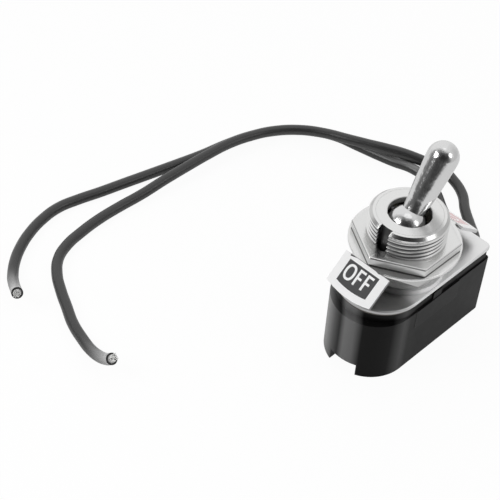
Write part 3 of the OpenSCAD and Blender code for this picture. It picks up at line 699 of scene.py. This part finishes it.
def block(bm, x0, x1, y0, y1):
    drawn(bm, ((x0, y0), (x1, y0), (x1, y1), (x0, y1)))


def panel(bm, half, top, radius):
    """A tab-shaped face: straight top edge at the fold, arc below. y runs up the tab, 0 at the fold."""
    lower = []
    for k in range(17):
        x = -half + 2 * half * k / 16
        lower.append((x, FOLD_X - math.sqrt(radius ** 2 - x * x)))
    drawn(bm, [(half, -top), (-half, -top)] + lower)


def letter_o(bm, mid, width, base):
    power = 0.85
    rings = []
    for inset in (0, STROKE):
        ring = bmesh.ops.create_circle(bm, segments=48, radius=MM)["verts"]
        for v in ring:
            a = math.atan2(v.co.y, v.co.x)
            x = math.copysign(abs(math.cos(a)) ** power, math.cos(a)) * (width / 2 - inset)
            y = math.copysign(abs(math.sin(a)) ** power, math.sin(a)) * (LETTER_H / 2 - inset)
            v.co = Vector((mid + x, base + LETTER_H / 2 + y, 0)) * MM
        rings.append(list({e for v in ring for e in v.link_edges}))
    bmesh.ops.bridge_loops(bm, edges=rings[0] + rings[1])


def letter_f(bm, left, width, base):
    top = base + LETTER_H
    block(bm, left, left + STROKE, base, top)
    block(bm, left + STROKE, left + width, top - STROKE, top)
    block(bm, left + STROKE, left + width * 0.88, base + LETTER_H * 0.5 - STROKE * 0.6,
          base + LETTER_H * 0.5 + STROKE * 0.4)


def letter_n(bm, left, width, base):
    top = base + LETTER_H
    block(bm, left, left + STROKE, base, top)
    block(bm, left + width - STROKE, left + width, base, top)
    slant = [(left, top), (left + width - STROKE, base), (left + width, base), (left + STROKE, top)]
    drawn(bm, slant)


def on_tab(bm, side, layer):
    """Thickens a flat drawing into an ink layer and lays it on the OFF (-1) or ON (+1) tab."""
    faces = list(bm.faces)
    bmesh.ops.recalc_face_normals(bm, faces=faces)
    for f in faces:
        if f.normal.z < 0:
            f.normal_flip()
    thicken(bm, faces, (0, 0, INK))
    fold = FOLD[side]
    right = Vector((0, side, 0))
    up = Vector((-side * math.cos(fold), 0, math.sin(fold)))
    out = right.cross(up)
    turn = Matrix((right, up, out)).transposed().to_4x4()
    start = Vector((AXIS_X + side * FOLD_X, 0, LEGEND_TOP)) + out * (0.002 + layer * INK)
    bmesh.ops.transform(bm, matrix=Matrix.Translation(start * MM) @ turn, verts=bm.verts)


def legend(side, word, field_ink):
    radius = FOLD_X + (REACH[side] - FOLD_X) / math.cos(FOLD[side])
    bm = bmesh.new()
    panel(bm, TAB_HALF, 0.02, radius)
    on_tab(bm, side, 0)
    piece(word + "_panel", bm, white_ink, "base")
    bm = bmesh.new()
    panel(bm, FIELD_HALF, FIELD_TOP, radius - FIELD_IN)
    on_tab(bm, side, 1)
    piece(word + "_field", bm, field_ink, "base")
    bm = bmesh.new()
    if word == "off":
        letter_o(bm, -1.58, 1.8, LETTER_LOW)
        letter_f(bm, -0.4, 1.15, LETTER_LOW)
        letter_f(bm, 1.08, 1.15, LETTER_LOW)
    else:
        letter_o(bm, -1.05, 1.95, LETTER_LOW)
        letter_n(bm, 0.2, 1.7, LETTER_LOW)
    on_tab(bm, side, 2)
    piece(word + "_letters", bm, white_ink, "base")


def slit_shades(side):
    """Two narrow dark marks on the tab where it is bent away from the disc: painted shade in the gaps."""
    bm = bmesh.new()
    drawn(bm, ((-3.15, -0.02), (-3.1, -0.27), (-2, -0.04)))
    drawn(bm, ((1.55, -0.02), (2.3, -0.14), (2.35, -0.02)))
    on_tab(bm, side, 1)
    piece("fold_slit_shades", bm, slit_dark, "base")


legend(-1, "off", grey_ink)
slit_shades(-1)
legend(1, "on", red_ink)

# %% [markdown]
# What is inside keeps its CAD mesh and only gets a finish.

# %% Inner pieces
INNER = {"insulating_sheet": fibre, "spring_seat": fibre, "base_sheet": fibre, "pivot_pin": spring_steel,
         "return_spring": spring_steel, "plunger": ivory_plastic, "contact_bridge": bare_brass,
         "bridge_contacts": silver, "fixed_contacts": silver, "front_terminal": bare_brass,
         "rear_terminal": bare_brass, "terminal_rivets": bare_brass, "crimp_barrels": bare_brass}
for node, finish in INNER.items():
    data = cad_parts[node].data
    data.materials.clear()
    data.materials.append(finish.material)
print("inner pieces", len(INNER))

# %% [markdown]
# A pale floor and a white room. Light Path lets the camera see the floor and world
# as white while the lamps stay at a plain level.

# %% Floor and world
bm = bmesh.new()
bmesh.ops.create_grid(bm, x_segments=1, y_segments=1, size=0.3)
mesh = bpy.data.meshes.new("floor")
bm.to_mesh(mesh)
bm.free()
floor = bpy.data.objects.new("floor", mesh)
bpy.context.scene.collection.objects.link(floor)
paper = Finish("paper", Base_Color=(0.92, 0.92, 0.92), Roughness=0.9, Specular_IOR_Level=0.0)
glow = paper.node("ShaderNodeEmission", inputs={"Color": (1, 1, 1), "Strength": 1.0})
seen = paper.node("ShaderNodeLightPath", out="Is Camera Ray")
mirrored = paper.node("ShaderNodeLightPath", out="Is Glossy Ray")
mixed = paper.node("ShaderNodeMixShader", inputs={0: 0.95 * seen + 0.4 * mirrored, 2: glow})
paper.tree.links.new(paper.shader.outputs[0], mixed.socket.node.inputs[1])
paper.tree.links.new(mixed.socket, paper.tree.nodes["Material Output"].inputs["Surface"])
mesh.materials.append(paper.material)

world = bpy.data.worlds.new("studio")
bpy.context.scene.world = world
world.use_nodes = True
sky = Nodes(world.node_tree)
outward = sky.node("ShaderNodeTexCoord", out="Generated")


def towards(direction):
    """How far a look-out direction points along another, from -1 to 1."""
    return sky.dot(outward, direction)


above = sky.ramp(towards((0, 0, 1)), -1, 1, [(-0.1, 0), (0.02, 1)])
overhead = sky.ramp(towards((0, 0, 1)), -1, 1, [(0.93, 0), (0.98, 1)])
dim = sky.ramp(towards((-0.98, -0.2, 0)), -1, 1, [(-0.05, 0), (0.25, 0.6), (0.55, 0.85), (1, 0.9)])
dark = sky.ramp(towards((-0.53, -0.49, 0.69)), -1, 1, [(0.6, 0), (0.95, 0.75)])
side = sky.ramp(towards((0.69, -0.72, 0)), -1, 1, [(0.3, 0), (0.9, 0.32)])
background = world.node_tree.nodes["Background"]
shade = (1 - dim * above) * (1 - dark) * (1 - side) + 0.35 * overhead
plain = sky.node("ShaderNodeLightPath", out="Is Camera Ray")
sky.put(background, "Color", shade * (1 - plain) + 0.98 * plain)
sky.put(background, "Strength", 1.0)


def area(name, place, aim, size, power):
    lamp = bpy.data.lights.new(name, "AREA")
    lamp.shape = "DISK"
    lamp.size = size * MM
    lamp.energy = power
    made = bpy.data.objects.new(name, lamp)
    bpy.context.scene.collection.objects.link(made)
    made.location = Vector(place) * MM
    made.rotation_mode = "QUATERNION"
    made.rotation_quaternion = (Vector(aim) - Vector(place)).to_track_quat("-Z", "Y")


area("left_box", (-194, 111, 175), (0, 0, 20), 150, 0.3)
area("right_box", (70, -203, 187), (0, 0, 20), 110, 0.06)
bpy.context.scene.view_settings.view_transform = "Standard"
